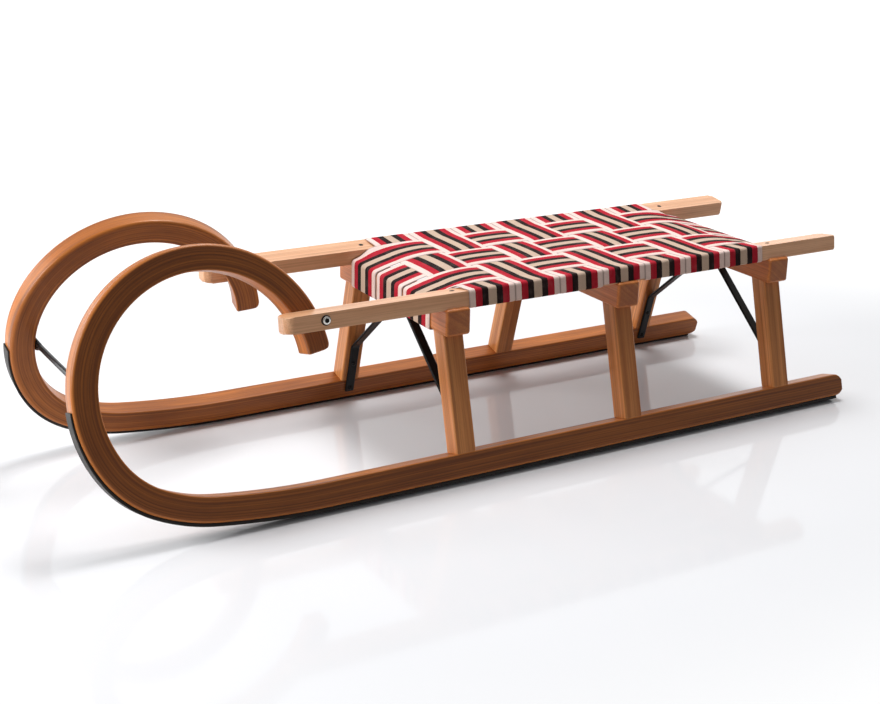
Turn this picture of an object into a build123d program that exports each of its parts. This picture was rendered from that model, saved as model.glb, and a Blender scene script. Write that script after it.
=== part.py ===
"""Wooden horn sled: bent laminated runners, three trestles, two seat rails and a woven webbing seat.

Frame: +X forward (towards the horns), +Y to the sled's left, +Z up, floor at Z = 0.
All sizes are millimetres.
"""

from build123d import *
from math import cos, radians, sin
import os

# ---- Overall layout ---------------------------------------------------------------------------
rear_end_x = -626.0  # back end of both runners
trestle_x = {"front": 83.0, "middle": -207.0, "rear": -497.0}
splay_deg = 15.0  # lean of runners and legs, feet apart
foot_y = 172.5  # inner lower edge of a runner

# ---- Runners and horns ------------------------------------------------------------------------
runner_width = 30.0
runner_depth = 34.5
bend_start_x = 289.0
horn_bends = ((1230.0, 7.8), (256.0, 18.3), (149.0, 32.3), (181.0, 204.5))  # radius, turn
spring_start = 340.0  # distance round the bend where the horn begins to close inwards
sprung_in = 21.5  # how far inwards the tail ends, so that it passes inside the rail
sole_chamfer = 3.5
rim_chamfer = 1.2
rear_top_round = 16.0
rear_sole_round = 12.0

# ---- Steel shoes ------------------------------------------------------------------------------
shoe_width = 22.0
shoe_thickness = 5.0
shoe_end_height = 165.0  # the shoe stops just under the foremost point of the nose

# ---- Legs and crossbars -----------------------------------------------------------------------
leg_length_x = 31.0
leg_chamfer = 2.5
crossbar_width = 39.0
crossbar_depth = 39.0
crossbar_length = 326.0
crossbar_bottom_z = 206.5
crossbar_edge_chamfer = 3.0
crossbar_end_chamfer = 4.5

# ---- Seat rails -------------------------------------------------------------------------------
rail_rear_x = -620.0
rail_front_x = 338.0
rail_width = 36.0
rail_depth = 22.8
rail_outer_y = 153.6  # outer top edge
rail_top_z = 266.4  # height of the outer top edge
rail_tilt_deg = 8.4  # tops lean towards the seat
rail_front_round = 12.0  # corners of the front end, seen from above
rail_rear_round = 5.0
rail_edge_round = 3.0

# ---- Woven seat -------------------------------------------------------------------------------
strap_width = 72.0
strap_thickness = 1.8
cross_straps = 7
cross_pitch = 75.6
along_straps = 3
along_pitch = 80.0
seat_centre_x = -201.0
weave_z = 263.6  # middle height of the weave
weave_lift = 1.05  # how far a strap rises or dips at a crossing
strap_bend = 4.0
strap_gap = 0.15
rail_wrap_under = 24.0
crossbar_wrap_under = 10.0

# ---- Iron braces and the tie rod --------------------------------------------------------------
brace_width = 15.0
brace_thickness = 4.0
brace_foot = 15.0  # lower end, measured up the runner's inner face
brace_knee = 99.0  # where the iron leaves the leg
brace_top_half = 20.0  # half of the flat under the crossbar
brace_bend = 14.0
rod_diameter = 8.0
palm_height = 18.0
palm_thickness = 3.0
palm_width = 14.0
palm_gap = 0.3

crossbar_top_z = crossbar_bottom_z + crossbar_depth
lean = radians(splay_deg)
rail_tilt = radians(rail_tilt_deg)
shoe_inset = (runner_width - shoe_width) / 2
foot_z = shoe_thickness * cos(lean) - shoe_inset * sin(lean)  # the shoe's inner edge is at Z = 0


def side_plane(side, lateral=0.0):
    """Side of a runner: local x forward, local y up the leaning face; lateral counts outwards."""
    return Plane(
        origin=(0, side * (foot_y + lateral * cos(lean)), foot_z + lateral * sin(lean)),
        x_dir=(1, 0, 0),
        z_dir=(0, -cos(lean), -side * sin(lean)),
    )


def plan_plane(side, height):
    """Square to a runner's side, looking down its lean: local x forward, local y across."""
    return Plane(
        origin=(0, side * (foot_y - height * sin(lean)), foot_z + height * cos(lean)),
        x_dir=(1, 0, 0),
        z_dir=(0, -side * sin(lean), cos(lean)),
    )


def rail_plane(side):
    """Top face of a seat rail: local x forward, local y across, origin on the outer top edge."""
    return Plane(
        origin=(0, side * rail_outer_y, rail_top_z),
        x_dir=(1, 0, 0),
        z_dir=(0, -side * sin(rail_tilt), cos(rail_tilt)),
    )


def rail_point(side, inwards, up):
    """(y, z) of a point given from the rail's outer top edge, along its tilted faces."""
    y = rail_outer_y - inwards * cos(rail_tilt) - up * sin(rail_tilt)
    z = rail_top_z - inwards * sin(rail_tilt) + up * cos(rail_tilt)
    return (side * y, z)


def face_point(side, height, inwards):
    """(y, z) on the inner face of runner and leg, moved inwards off that face."""
    y = foot_y - height * sin(lean) - inwards * cos(lean)
    z = foot_z + height * cos(lean) - inwards * sin(lean)
    return (side * y, z)


def horn_curve(side):
    """Middle of a runner's sole on a plane leaning with it: the flat, then the bends in turn."""
    with BuildLine(side_plane(side, runner_width / 2)) as curve:
        piece = Line((rear_end_x, 0), (bend_start_x, 0))
        for radius, turn in horn_bends:
            piece = JernArc(piece @ 1, piece % 1, radius, turn)
    return curve.wires()[0]


def sprung_curve(side):
    """The same line with the horn closing inwards from its nose to its tail."""
    plain = horn_curve(side)
    flat = bend_start_x - rear_end_x
    bend = plain.length - flat
    inwards = Vector(0, -side * cos(lean), -sin(lean))
    stations = 18
    points = []
    for step in range(stations + 1):
        reach = bend * step / stations
        closing = max(0.0, reach - spring_start) / (bend - spring_start)
        station = plain.position_at((flat + reach) / plain.length)
        points.append(station + inwards * sprung_in * closing**1.5)
    with BuildLine() as curve:
        ground = Line(plain @ 0, points[0])
        Spline(*points, tangents=(ground % 1, points[-1] - points[-2]))
    return curve.wires()[0]


def section_plane(side, curve):
    """Cross-section at a runner's back end: local x outwards, local y up the lean."""
    return Plane(origin=curve @ 0, x_dir=(0, side * cos(lean), sin(lean)), z_dir=(side, 0, 0))


def make_runner(side):
    """One runner and its horn, bent from a single laminated length of constant section."""
    curve = sprung_curve(side)
    with BuildPart() as runner:
        with BuildSketch(section_plane(side, curve)) as section:
            with Locations((0, runner_depth / 2)):
                Rectangle(runner_width, runner_depth)
            chamfer(section.vertices().group_by(Axis.Y)[0], sole_chamfer)
            chamfer(section.vertices().group_by(Axis.Y)[-1], rim_chamfer)
        sweep(path=curve)
        with BuildSketch(side_plane(side)):
            for size, level, turn in (
                (rear_top_round, runner_depth, -1),
                (rear_sole_round, 0.0, 1),
            ):
                with Locations((rear_end_x + size / 2, level + turn * size / 2)):
                    Rectangle(size, size)
                with Locations((rear_end_x + size, level + turn * size)):
                    Circle(size, mode=Mode.SUBTRACT)
        extrude(amount=-side * runner_width, mode=Mode.SUBTRACT)
        with BuildSketch(rail_plane(side)):
            with Locations(((rail_front_x + rail_rear_x) / 2, -side * rail_width / 2)):
                Rectangle(rail_front_x - rail_rear_x, rail_width)
        extrude(amount=-rail_depth, mode=Mode.SUBTRACT)
    return runner


def make_shoe(side):
    """Steel bar screwed under the runner and up the front of the horn."""
    curve = sprung_curve(side)
    with BuildPart() as shoe:
        with BuildSketch(section_plane(side, curve)):
            with Locations((0, -shoe_thickness / 2)):
                Rectangle(shoe_width, shoe_thickness)
        sweep(path=curve)
        split(bisect_by=plan_plane(side, shoe_end_height), keep=Keep.BOTTOM)
        with BuildSketch(side_plane(side)):
            with Locations((rear_end_x + rear_sole_round / 2, 0)):
                Rectangle(rear_sole_round, 2 * shoe_thickness)
        extrude(amount=-side * runner_width, mode=Mode.SUBTRACT)
    return shoe


def make_leg(side, x):
    """Leg standing on the runner, both its sides flush with the runner's, cut level on top."""
    upright = Axis((0, 0, 0), (0, -side * sin(lean), cos(lean)))
    with BuildPart() as leg:
        with BuildSketch(side_plane(side)):
            with Locations((x, (runner_depth + 250.0) / 2)):
                Rectangle(leg_length_x, 250.0 - runner_depth)
        extrude(amount=-side * runner_width)
        chamfer(leg.edges().filter_by(upright), leg_chamfer)
        split(bisect_by=Plane.XY.offset(crossbar_bottom_z), keep=Keep.BOTTOM)
    return leg


def make_crossbar(x):
    """Square bar across two legs, let in on top where the tilted rails lie."""
    with BuildPart() as crossbar:
        with Locations((x, 0, crossbar_bottom_z + crossbar_depth / 2)):
            Box(crossbar_width, crossbar_length, crossbar_depth)
        chamfer(crossbar.faces().filter_by(Axis.Y).edges(), crossbar_end_chamfer)
        chamfer(crossbar.edges().filter_by(Axis.Y), crossbar_edge_chamfer)
        for side in (1, -1):
            with BuildSketch(rail_plane(side)):
                with Locations((x, -side * rail_width / 2)):
                    Rectangle(crossbar_width + 2, rail_width)
            extrude(amount=-rail_depth, mode=Mode.SUBTRACT)
    return crossbar


def make_rail(side):
    """Seat rail: a bar with softened edges and rounded corners, its top leaning to the seat."""
    length = rail_front_x - rail_rear_x
    middle = (rail_front_x + rail_rear_x) / 2
    y, z = rail_point(side, rail_width / 2, -rail_depth / 2)
    across = (0, side * cos(rail_tilt), sin(rail_tilt))
    with BuildPart() as rail:
        with BuildSketch(Plane(origin=(rail_rear_x, y, z), x_dir=across, z_dir=(1, 0, 0))):
            RectangleRounded(rail_width, rail_depth, rail_edge_round)
        extrude(amount=length)
        with BuildSketch(rail_plane(side)) as plan:
            with Locations((middle, -side * rail_width / 2)):
                Rectangle(length, rail_width)
            fillet(plan.vertices().group_by(Axis.X)[-1], rail_front_round)
            fillet(plan.vertices().group_by(Axis.X)[0], rail_rear_round)
        extrude(amount=-rail_depth, mode=Mode.INTERSECT)
    return rail


def over_or_under(row, column):
    """+1 where an along strap passes over a cross strap, -1 where it passes under."""
    return 1 if (row + column) % 2 == 0 else -1


def strap_section(plane, woven, tacks):
    """Sketch of a strap seen on edge: its woven run and the ends tacked under the frame."""
    with BuildSketch(plane) as section:
        with BuildLine():
            FilletPolyline(*woven, radius=strap_bend)
        trace(line_width=strap_thickness)
        for start, end in tacks:
            with BuildLine():
                Line(start, end)
            trace(line_width=strap_thickness)
    return section.sketch


def make_cross_strap(row, x, wraps_under):
    """Strap across the seat: tacked under one rail, woven through, tacked under the other."""
    off = strap_thickness / 2 + strap_gap
    half = along_pitch / 2
    slope = (along_pitch - strap_width) / 2
    woven = []
    tacks = []
    for side in (1, -1):
        wing = []
        if wraps_under:
            level = -rail_depth - off
            wing.append(rail_point(side, -off, level - strap_thickness / 2))
            tacks.append((rail_point(side, -off, level), rail_point(side, rail_wrap_under, level)))
        else:
            wing.append(rail_point(side, -off, -rail_depth + 3.0))
        wing.append(rail_point(side, -off, off))
        outer = weave_z - over_or_under(row, 0) * weave_lift
        inner = weave_z - over_or_under(row, 1) * weave_lift
        wing.append((side * (3 * half - slope), outer))
        wing.append((side * (half + slope), outer))
        wing.append((side * (half - slope), inner))
        woven.extend(wing if side == 1 else wing[::-1])
    with BuildPart() as strap:
        section = strap_section(Plane.YZ.offset(x - strap_width / 2), woven, tacks)
        extrude(section, amount=strap_width)
    return strap


def make_along_strap(column, y):
    """Strap along the seat: tacked under the front crossbar, woven through, under the rear one."""
    off = strap_thickness / 2 + strap_gap
    slope = (cross_pitch - strap_width) / 2
    front = trestle_x["front"] + crossbar_width / 2
    rear = trestle_x["rear"] - crossbar_width / 2
    level = crossbar_bottom_z - off
    tacks = (
        ((front + off, level), (front - crossbar_wrap_under, level)),
        ((rear - off, level), (rear + crossbar_wrap_under, level)),
    )
    woven = [(front + off, level - strap_thickness / 2), (front + off, crossbar_top_z + off)]
    for row in range(cross_straps):
        x = seat_centre_x + (cross_straps // 2 - row) * cross_pitch
        z = weave_z + over_or_under(row, column) * weave_lift
        woven.append((x + cross_pitch / 2 - slope, z))
        woven.append((x - cross_pitch / 2 + slope, z))
    woven.append((rear - off, crossbar_top_z + off))
    woven.append((rear - off, level - strap_thickness / 2))
    with BuildPart() as strap:
        section = strap_section(Plane.XZ.offset(-y), woven, tacks)
        extrude(section, amount=strap_width / 2, both=True)
    return strap


def make_brace(x):
    """Flat iron bent down from the middle of a crossbar to both legs and runners."""
    off = brace_thickness / 2
    left = [
        face_point(1, brace_foot, off),
        face_point(1, brace_knee, off),
        (brace_top_half, crossbar_bottom_z - off),
    ]
    right = [(-y, z) for y, z in reversed(left)]
    with BuildPart() as brace:
        with BuildSketch(Plane.YZ.offset(x - brace_width / 2)):
            with BuildLine():
                FilletPolyline(*left, *right, radius=brace_bend)
            trace(line_width=brace_thickness)
        extrude(amount=brace_width)
    return brace


def horn_nose():
    """Foremost point of the sole line: forward, and up the lean."""
    forward, height, turned = bend_start_x, 0.0, 0.0
    for radius, turn in horn_bends:
        after = min(turned + turn, 90.0)
        forward += radius * (sin(radians(after)) - sin(radians(turned)))
        height += radius * (cos(radians(turned)) - cos(radians(after)))
        turned = after
    return forward, height


def make_tie_rod():
    """Round rod between the horns, with a flat palm at each end against the hollow of the nose."""
    nose_x, height = horn_nose()
    hollow_radius = horn_bends[-1][0] - runner_depth
    sag = (palm_height / 2) ** 2 / 2 / hollow_radius
    palm_x = nose_x - runner_depth - sag - palm_gap - palm_thickness
    y, z = face_point(1, height, -palm_thickness)
    with BuildPart() as rod:
        with Locations(Location((palm_x + palm_thickness - rod_diameter / 2, 0, z), (90, 0, 0))):
            Cylinder(rod_diameter / 2, 2 * y)
        for side in (1, -1):
            with BuildSketch(side_plane(side)):
                with Locations((palm_x + palm_thickness / 2, height)):
                    Rectangle(palm_thickness, palm_height)
            extrude(amount=-side * palm_width)
    return rod


def finish(piece, label):
    """Name the solid and write it out."""
    piece.part.label = label
    export_step(piece.part, f"parts/{label}.step")


os.makedirs("parts", exist_ok=True)

for name, side in (("left", 1), ("right", -1)):
    finish(make_runner(side), f"runner_{name}")
    finish(make_shoe(side), f"shoe_{name}")
    finish(make_rail(side), f"rail_{name}")
    for place, x in trestle_x.items():
        finish(make_leg(side, x), f"leg_{place}_{name}")

for place, x in trestle_x.items():
    finish(make_crossbar(x), f"crossbar_{place}")
    if place != "middle":
        finish(make_brace(x), f"brace_{place}")

finish(make_tie_rod(), "tie_rod")

for row in range(cross_straps):
    x = seat_centre_x + (cross_straps // 2 - row) * cross_pitch
    over_crossbar = abs(x - trestle_x["middle"]) < (strap_width + crossbar_width) / 2
    finish(make_cross_strap(row, x, not over_crossbar), f"seat_strap_across_{row + 1}")

for column, name in enumerate(("left", "middle", "right")):
    y = (along_straps // 2 - column) * along_pitch
    finish(make_along_strap(column, y), f"seat_strap_along_{name}")
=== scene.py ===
"""Looks of the wooden horn sled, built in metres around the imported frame.

+X is forward, towards the horns, +Y is the sled's left and +Z is up, with the floor at Z = 0.
"""

from __future__ import annotations

import logging
import math
from dataclasses import dataclass, field
from enum import Enum
from typing import Callable, Sequence

import bmesh
import bpy
from mathutils import Matrix, Vector

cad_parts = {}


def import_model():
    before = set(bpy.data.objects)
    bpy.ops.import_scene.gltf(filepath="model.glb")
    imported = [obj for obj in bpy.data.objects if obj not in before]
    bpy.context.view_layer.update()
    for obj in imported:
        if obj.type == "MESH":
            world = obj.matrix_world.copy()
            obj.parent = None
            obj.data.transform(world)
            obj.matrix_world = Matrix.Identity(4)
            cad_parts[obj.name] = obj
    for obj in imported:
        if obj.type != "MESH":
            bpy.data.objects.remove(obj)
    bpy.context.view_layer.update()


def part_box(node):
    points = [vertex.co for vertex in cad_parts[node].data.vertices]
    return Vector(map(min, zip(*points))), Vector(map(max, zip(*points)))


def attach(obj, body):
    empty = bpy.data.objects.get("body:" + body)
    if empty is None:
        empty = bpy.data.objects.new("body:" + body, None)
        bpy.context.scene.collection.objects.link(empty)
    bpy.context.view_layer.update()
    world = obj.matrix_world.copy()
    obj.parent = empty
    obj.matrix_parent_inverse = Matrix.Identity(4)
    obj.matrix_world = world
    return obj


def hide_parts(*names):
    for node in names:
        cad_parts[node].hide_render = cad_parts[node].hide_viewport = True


LOG = logging.getLogger("sled")
Colour = tuple[float, float, float, float]
Scale = tuple[float, float, float]
Socket = bpy.types.NodeSocket
Ring = list[Vector]
WHITE: Colour = (1.0, 1.0, 1.0, 1.0)
BLACK: Colour = (0.0, 0.0, 0.0, 1.0)


def paint(red: int, green: int, blue: int) -> Colour:
    """A colour written as on a screen, from 0 to 255, turned into the shader's linear values.

    Args:
        red: Red share.
        green: Green share.
        blue: Blue share.

    Returns:
        Linear red, green, blue and an alpha of 1.
    """

    def linear(share: int) -> float:
        """One share as light, by the sRGB curve."""
        value = share / 255
        return value / 12.92 if value <= 0.04045 else ((value + 0.055) / 1.055) ** 2.4

    return (linear(red), linear(green), linear(blue), 1.0)


class Side(Enum):
    """The sled's two sides, with the sign of Y on each."""

    LEFT = 1
    RIGHT = -1

    @property
    def label(self) -> str:
        """The side's plain name."""
        return self.name.lower()


# ---- Materials --------------------------------------------------------------------------------


class Graph:
    """A node tree, with short ways to add nodes and join them."""

    def __init__(self, tree: bpy.types.NodeTree) -> None:
        """Start with an empty tree.

        Args:
            tree: The tree of a material or of the world.
        """
        self.tree = tree
        self.tree.nodes.clear()

    def feed(self, socket: Socket, value: object) -> None:
        """Join an output to a socket, or write a plain value on it.

        Args:
            socket: The input to set.
            value: An output, or a plain number, vector or colour.
        """
        if isinstance(value, Socket):
            self.tree.links.new(value, socket)
        else:
            socket.default_value = value

    def seen(self) -> Socket:
        """Tell what the camera sees straight, in a gloss or through glass from plain light.

        Returns:
            1 where it is seen, and 0 for plain light.
        """
        path = self.tree.nodes.new("ShaderNodeLightPath")
        clear = self.maths("MAXIMUM", path.outputs["Is Glossy Ray"], path.outputs["Is Transmission Ray"])
        return self.maths("MAXIMUM", path.outputs["Is Camera Ray"], clear)

    def stored(self, name: str, output: str = "Vector") -> Socket:
        """Read what the mesh stores at each point.

        Args:
            name: The name that it is stored under.
            output: The attribute node's output to read.

        Returns:
            The stored value's output.
        """
        node = self.tree.nodes.new("ShaderNodeAttribute")
        node.attribute_name = name
        return node.outputs[output]

    def stretch(self, vector: Socket, scale: Sequence[float]) -> Socket:
        """Scale a vector by a number for each of its directions.

        Args:
            vector: The vector's output.
            scale: The three numbers.

        Returns:
            The scaled vector's output.
        """
        node = self.tree.nodes.new("ShaderNodeVectorMath")
        node.operation = "MULTIPLY"
        self.feed(node.inputs[0], vector)
        node.inputs[1].default_value = scale
        return node.outputs[0]

    def apart(self, vector: Socket) -> tuple[Socket, ...]:
        """Split a vector into its three numbers.

        Args:
            vector: The vector's output.

        Returns:
            The outputs of X, Y and Z.
        """
        node = self.tree.nodes.new("ShaderNodeSeparateXYZ")
        self.feed(node.inputs[0], vector)
        return tuple(node.outputs)

    def sum(self, first: object, second: object) -> Socket:
        """Add two numbers."""
        return self.maths("ADD", first, second)

    def times(self, first: object, second: object) -> Socket:
        """Multiply two numbers."""
        return self.maths("MULTIPLY", first, second)

    def maths(self, kind: str, *values: object) -> Socket:
        """One step of arithmetic.

        Args:
            kind: Blender's name for the operation.
            values: Outputs or plain numbers.

        Returns:
            The result's output.
        """
        node = self.tree.nodes.new("ShaderNodeMath")
        node.operation = kind
        for socket, value in zip(node.inputs, values):
            self.feed(socket, value)
        return node.outputs[0]

    def noise(self, vector: Socket, scale: Sequence[float], detail: float = 2.0) -> Socket:
        """Soft noise with its own scale along each direction.

        Args:
            vector: Where the noise is read.
            scale: Features per metre in each direction.
            detail: Octaves of finer noise.

        Returns:
            Values around 0.5.
        """
        node = self.tree.nodes.new("ShaderNodeTexNoise")
        node.inputs["Scale"].default_value = 1.0
        node.inputs["Detail"].default_value = detail
        self.feed(node.inputs["Vector"], self.stretch(vector, scale))
        return node.outputs["Fac"]

    def layers(self, place: Socket, detail: float) -> Socket:
        """Noise along one line, for rings of uneven width.

        Args:
            place: Distance across the rings, times the rings in a metre.
            detail: Octaves of finer noise.

        Returns:
            Values around 0.5.
        """
        node = self.tree.nodes.new("ShaderNodeTexNoise")
        node.noise_dimensions = "1D"
        node.inputs["Scale"].default_value = 1.0
        node.inputs["Detail"].default_value = detail
        self.feed(node.inputs["W"], place)
        return node.outputs["Fac"]

    def stripes(self, value: Socket, stops: Sequence[tuple[float, Colour]]) -> Socket:
        """Colour by value, with a hard edge between two colours.

        Args:
            value: From 0 to 1.
            stops: Where each colour starts and the colour, in order.

        Returns:
            The colour's output.
        """
        node = self.tree.nodes.new("ShaderNodeValToRGB")
        node.color_ramp.interpolation = "CONSTANT"
        marks = node.color_ramp.elements
        while len(marks) < len(stops):
            marks.new(1.0)
        for mark, (place, colour) in zip(marks, stops):
            mark.position = place
            mark.color = colour
        self.feed(node.inputs[0], value)
        return node.outputs["Color"]

    def fade(self, value: Socket, low: float, high: float) -> Socket:
        """A smooth 0 to 1.

        Args:
            value: The number that changes.
            low: Its value at 0.
            high: Its value at 1.

        Returns:
            The result's output.
        """
        node = self.tree.nodes.new("ShaderNodeMapRange")
        node.interpolation_type = "SMOOTHSTEP"
        node.inputs["From Min"].default_value = low
        node.inputs["From Max"].default_value = high
        self.feed(node.inputs["Value"], value)
        return node.outputs["Result"]

    def mix(self, amount: object, first: object, second: object) -> Socket:
        """Blend two colours.

        Args:
            amount: Share of the second colour.
            first: The colour below.
            second: The colour on top.

        Returns:
            The blended colour.
        """
        node = self.tree.nodes.new("ShaderNodeMix")
        node.data_type = "RGBA"
        self.feed(node.inputs[0], amount)
        self.feed(node.inputs[6], first)
        self.feed(node.inputs[7], second)
        return node.outputs[2]


class Board(Graph):
    """A material with one surface shader."""

    def __init__(self, name: str) -> None:
        """Start the material.

        Args:
            name: The material's name.
        """
        self.material = bpy.data.materials.new(name)
        self.material.use_nodes = True
        super().__init__(self.material.node_tree)
        self.shader = self.tree.nodes.new("ShaderNodeBsdfPrincipled")
        output = self.tree.nodes.new("ShaderNodeOutputMaterial")
        self.tree.links.new(self.shader.outputs["BSDF"], output.inputs["Surface"])

    def surface(self, **values: object) -> None:
        """Set the shader's sockets, with underscores for spaces in their names."""
        for name, value in values.items():
            self.feed(self.shader.inputs[name.replace("_", " ")], value)

    def relief(self, height: Socket, depth: float, strength: float) -> None:
        """Press a height into the surface's shading.

        Args:
            height: The relief, about 0 to 1.
            depth: What 1 stands for, in metres.
            strength: Share of it that shows.
        """
        node = self.tree.nodes.new("ShaderNodeBump")
        node.inputs["Strength"].default_value = strength
        node.inputs["Distance"].default_value = depth
        self.feed(node.inputs["Height"], height)
        self.feed(self.shader.inputs["Normal"], node.outputs["Normal"])


@dataclass(frozen=True)
class OiledAsh:
    """Oiled ash: rings seen as long faint lines, fine fibres, open pores, lighter edges of wear and painted
    highlight, and painted shade on faces that look to the sled's sides.
    """

    name: str
    light: Colour
    dark: Colour
    line: Colour
    ring_lines: float = 250.0  # per metre across the rings
    ring_turn: float = 1.35  # which way the rings lie in the section
    ring_share: float = 0.34
    fibre_share: float = 0.30
    pore_share: float = 0.30
    rubbed_highlight_share: float = 0.55
    wander: float = 0.010
    gloss: float = 0.36
    shine: float = 0.40
    painted_side_shade_share: float = 0.0  # painted shade: how much darker the faces that look to the sled's sides are made
    painted_side_shade_turn: tuple[float, float] = (0.62, 0.93)  # how far a face looks sideways, from none to all
    painted_side_shade_under_turn: tuple[float, float] = (-0.2, 0.0)  # the same for its look down, which weakens it
    painted_side_shade_under_keep: float = 0.45  # what a face that looks down keeps of it
    band_lines: float = 0.42  # broad bands to a ring line
    band_share: float = 0.45
    drift_scale: Scale = (2.2, 14.0, 14.0)
    cloud_scale: Scale = (4.0, 30.0, 30.0)
    fibre_scale: Scale = (9.0, 700.0, 700.0)
    pore_scale: Scale = (45.0, 1500.0, 1500.0)
    # Noise levels between which each of these goes from none to all.
    late_edge: tuple[float, float] = (0.44, 0.70)
    heart_edge: tuple[float, float] = (0.36, 0.64)
    fibre_edge: tuple[float, float] = (0.40, 0.68)
    pore_edge: tuple[float, float] = (0.60, 0.72)
    rubbed_edge: tuple[float, float] = (0.15, 0.70)
    fibre_rough: float = 0.20  # how far the roughness swings over the fibres
    late_rough: float = -0.06  # what a ring's line adds to it
    coat: float = 0.04
    coat_rough: float = 0.25
    fibre_height: float = 0.6
    late_height: float = 0.35
    pore_height: float = -0.5
    relief_depth: float = 0.00020
    relief_share: float = 0.5

    def rings_place(self, board: Board, grain: Socket) -> Socket:
        """Distance across the rings, which drift along the grain.

        Args:
            board: The material.
            grain: The wood's stored coordinates.

        Returns:
            The distance in metres.
        """
        _, across, up = board.apart(grain)
        drift = board.sum(board.noise(grain, self.drift_scale), -0.5)
        level_part = board.times(across, math.cos(self.ring_turn))
        steep_part = board.times(up, math.sin(self.ring_turn))
        return board.sum(board.sum(level_part, steep_part), board.times(drift, self.wander))

    def painted_side_shade(self, board: Board) -> Socket:
        """Where shade is painted: how much a face looks to the sled's sides, less where it also looks down.

        Args:
            board: The material.

        Returns:
            From 0 to 1.
        """
        facing = board.tree.nodes.new("ShaderNodeNewGeometry").outputs["Normal"]
        _, sideways, rise = board.apart(facing)
        sideways = board.fade(board.maths("ABSOLUTE", sideways), *self.painted_side_shade_turn)
        level = board.times(board.fade(rise, *self.painted_side_shade_under_turn), 1.0 - self.painted_side_shade_under_keep)
        return board.times(sideways, board.sum(level, self.painted_side_shade_under_keep))

    def material(self) -> bpy.types.Material:
        """Build the wood.

        Returns:
            The material.
        """
        board = Board(self.name)
        grain = board.stored("grain")
        place = self.rings_place(board, grain)
        rings = board.layers(board.times(place, self.ring_lines), 3.0)
        late = board.times(board.fade(rings, *self.late_edge), self.ring_share)
        bands = board.layers(board.times(place, self.ring_lines * self.band_lines), 1.0)
        cloud = board.noise(grain, self.cloud_scale, 3.0)
        fibres = board.noise(grain, self.fibre_scale, 4.0)
        pores = board.fade(board.noise(grain, self.pore_scale), *self.pore_edge)
        heart = board.sum(board.times(cloud, 1.0 - self.band_share), board.times(bands, self.band_share))
        tone = board.mix(board.fade(heart, *self.heart_edge), self.light, self.dark)
        tone = board.mix(late, tone, self.line)
        strands = board.times(board.fade(fibres, *self.fibre_edge), self.fibre_share)
        tone = board.mix(strands, tone, self.line)
        tone = board.mix(board.times(pores, self.pore_share), tone, self.line)
        # Painted shade: faces that look to the sled's sides are darkened towards the line colour.
        tone = board.mix(board.times(self.painted_side_shade(board), self.painted_side_shade_share), tone, self.line)
        # Wear and painted highlight: the rounded edges are lightened towards the light colour.
        rubbed = board.times(board.stored("wear_and_highlight", "Fac"), board.fade(cloud, *self.rubbed_edge))
        tone = board.mix(board.times(rubbed, self.rubbed_highlight_share), tone, self.light)
        rough = board.sum(board.times(fibres, self.fibre_rough), self.gloss - self.fibre_rough / 2)
        board.surface(Base_Color=tone, Roughness=board.sum(rough, board.times(late, self.late_rough)))
        board.surface(Specular_IOR_Level=self.shine)
        board.surface(Coat_Weight=self.coat, Coat_Roughness=self.coat_rough)
        height = board.sum(board.times(fibres, self.fibre_height), board.times(late, self.late_height))
        height = board.sum(height, board.times(pores, self.pore_height))
        board.relief(height, self.relief_depth, self.relief_share)
        return board.material


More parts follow.
